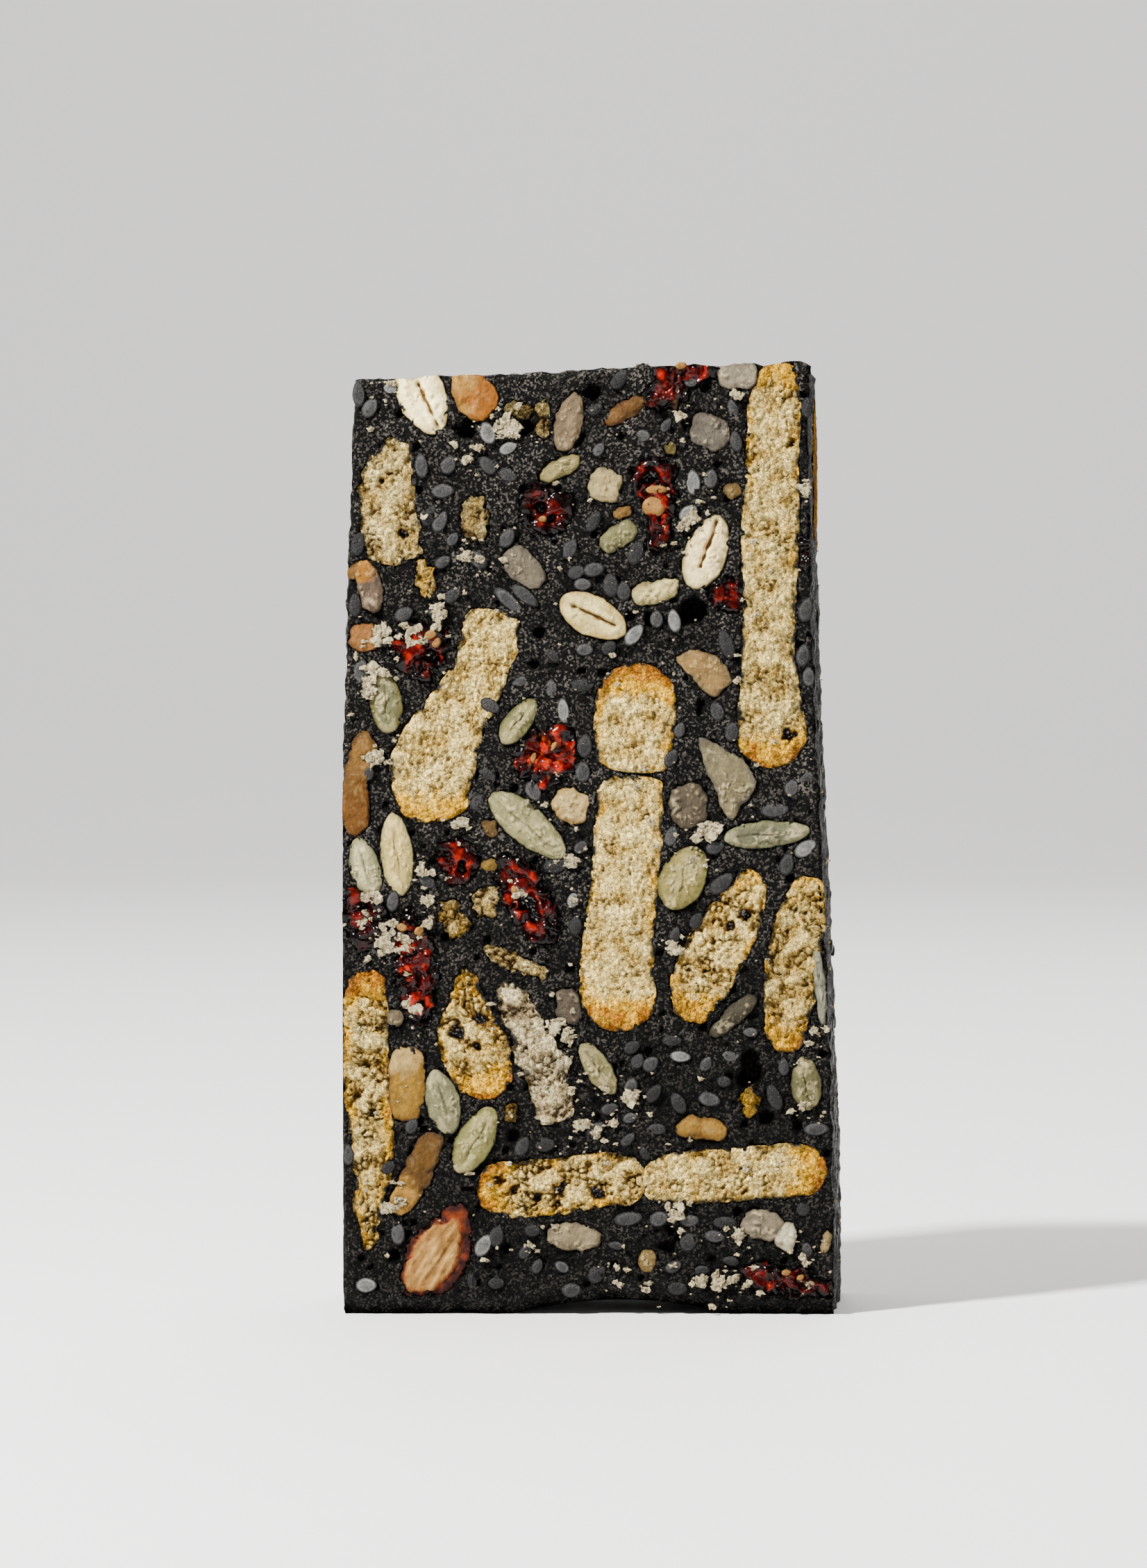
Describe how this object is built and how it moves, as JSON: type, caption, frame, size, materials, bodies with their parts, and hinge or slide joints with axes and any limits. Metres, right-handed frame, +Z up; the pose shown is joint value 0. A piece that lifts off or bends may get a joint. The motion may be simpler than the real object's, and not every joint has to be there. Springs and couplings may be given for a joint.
{
  "type": "granola bar",
  "caption": "Slab of dark sesame nougat cut to show crackers, pumpkin seeds, nuts and dried cranberries, standing on its short end.",
  "frame": {"origin": "on the ground under the middle of the bar's bounding box", "axes": "+Z up along the bar's long side, -Y out of the cut face shown in the picture, +X to that face's right, so +Y is through the slab's thickness"},
  "size_m": [0.0544, 0.0208, 0.1026],
  "materials": {
    "nougat": "matte, fine sandy crumb",
    "cracker": "matte, open crumb with a toasted rim",
    "pumpkin_seed": "satin",
    "nut": "satin",
    "cranberry": "glossy, sticky"
  },
  "bodies": {
    "root": {"almond": "nut", "cashew_left": "nut", "cashew_low": "nut", "cashew_strip": "nut", "cracker_bottom_left": "cracker", "cracker_bottom_right": "cracker", "cracker_crumbled": "cracker", "cracker_left_low": "cracker", "cracker_middle_lower": "cracker", "cracker_middle_upper": "cracker", "cracker_right_low": "cracker", "cracker_right_slanted": "cracker", "cracker_right_tall": "cracker", "cracker_side": "cracker", "cracker_slanted": "cracker", "cracker_top_left": "cracker", "cracker_wedge": "cracker", "cranberry_back_high": "cranberry", "cranberry_back_low": "cranberry", "cranberry_back_middle": "cranberry", "cranberry_bright": "cranberry", "cranberry_dark": "cranberry", "cranberry_edge": "cranberry", "cranberry_hollow": "cranberry", "cranberry_left": "cranberry", "cranberry_long": "cranberry", "cranberry_low": "cranberry", "cranberry_seeded": "cranberry", "cranberry_top": "cranberry", "kernel_slanted": "nut", "nougat": "nougat", "peanut_back_high": "nut", "peanut_back_left": "nut", "peanut_back_low": "nut", "peanut_grey": "nut", "peanut_left": "nut", "peanut_low": "nut", "peanut_ragged": "nut", "peanut_slice": "nut", "peanut_top": "nut", "peanut_wedge": "nut", "pumpkin_seed_back_high": "pumpkin_seed", "pumpkin_seed_back_low": "pumpkin_seed", "pumpkin_seed_back_right": "pumpkin_seed", "pumpkin_seed_crumbed": "pumpkin_seed", "pumpkin_seed_edge": "pumpkin_seed", "pumpkin_seed_flat": "pumpkin_seed", "pumpkin_seed_green": "pumpkin_seed", "pumpkin_seed_left": "pumpkin_seed", "pumpkin_seed_long": "pumpkin_seed", "pumpkin_seed_low_grey": "pumpkin_seed", "pumpkin_seed_low_right": "pumpkin_seed", "pumpkin_seed_low_yellow": "pumpkin_seed", "pumpkin_seed_pale": "pumpkin_seed", "pumpkin_seed_small": "pumpkin_seed", "pumpkin_seed_split": "pumpkin_seed", "pumpkin_seed_top": "pumpkin_seed", "pumpkin_seed_upright": "pumpkin_seed", "sunflower_kernel": "nut"}
  },
  "joints": []
}
